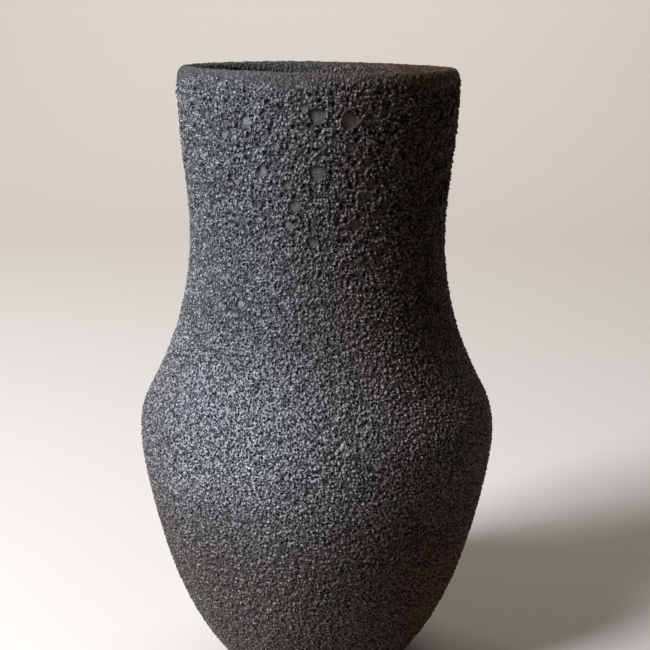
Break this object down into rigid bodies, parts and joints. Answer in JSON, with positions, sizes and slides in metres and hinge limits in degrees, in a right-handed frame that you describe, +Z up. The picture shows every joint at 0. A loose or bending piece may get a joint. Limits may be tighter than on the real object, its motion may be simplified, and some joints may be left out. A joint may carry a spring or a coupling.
{
  "type": "stoneware vase",
  "caption": "Wide-mouthed black stoneware vase with a pitted crater glaze, flared neck, sloping shoulder, sharp belly and narrow foot.",
  "frame": {"origin": "centre of the foot ring's underside, on the surface that the vase stands on", "axes": "+Z up along the vase's axis, which is its axis of turning and its longest extent; X and Y are interchangeable, and -Y is the front view"},
  "size_m": [0.1642, 0.1642, 0.28],
  "materials": {
    "clay": "bare fired black stoneware, matt",
    "slip": "fired joining slip, matt",
    "crater_glaze": "pitted charcoal crater glaze, satin on its raised skin and matt in its pores",
    "liner_glaze": "thin matt charcoal liner glaze"
  },
  "bodies": {
    "root": {"foot_ring": "clay", "foot_slip": "slip", "lower_body": "clay", "joint_slip": "slip", "upper_body": "clay", "outer_glaze": "crater_glaze", "liner_glaze": "liner_glaze"}
  },
  "joints": []
}
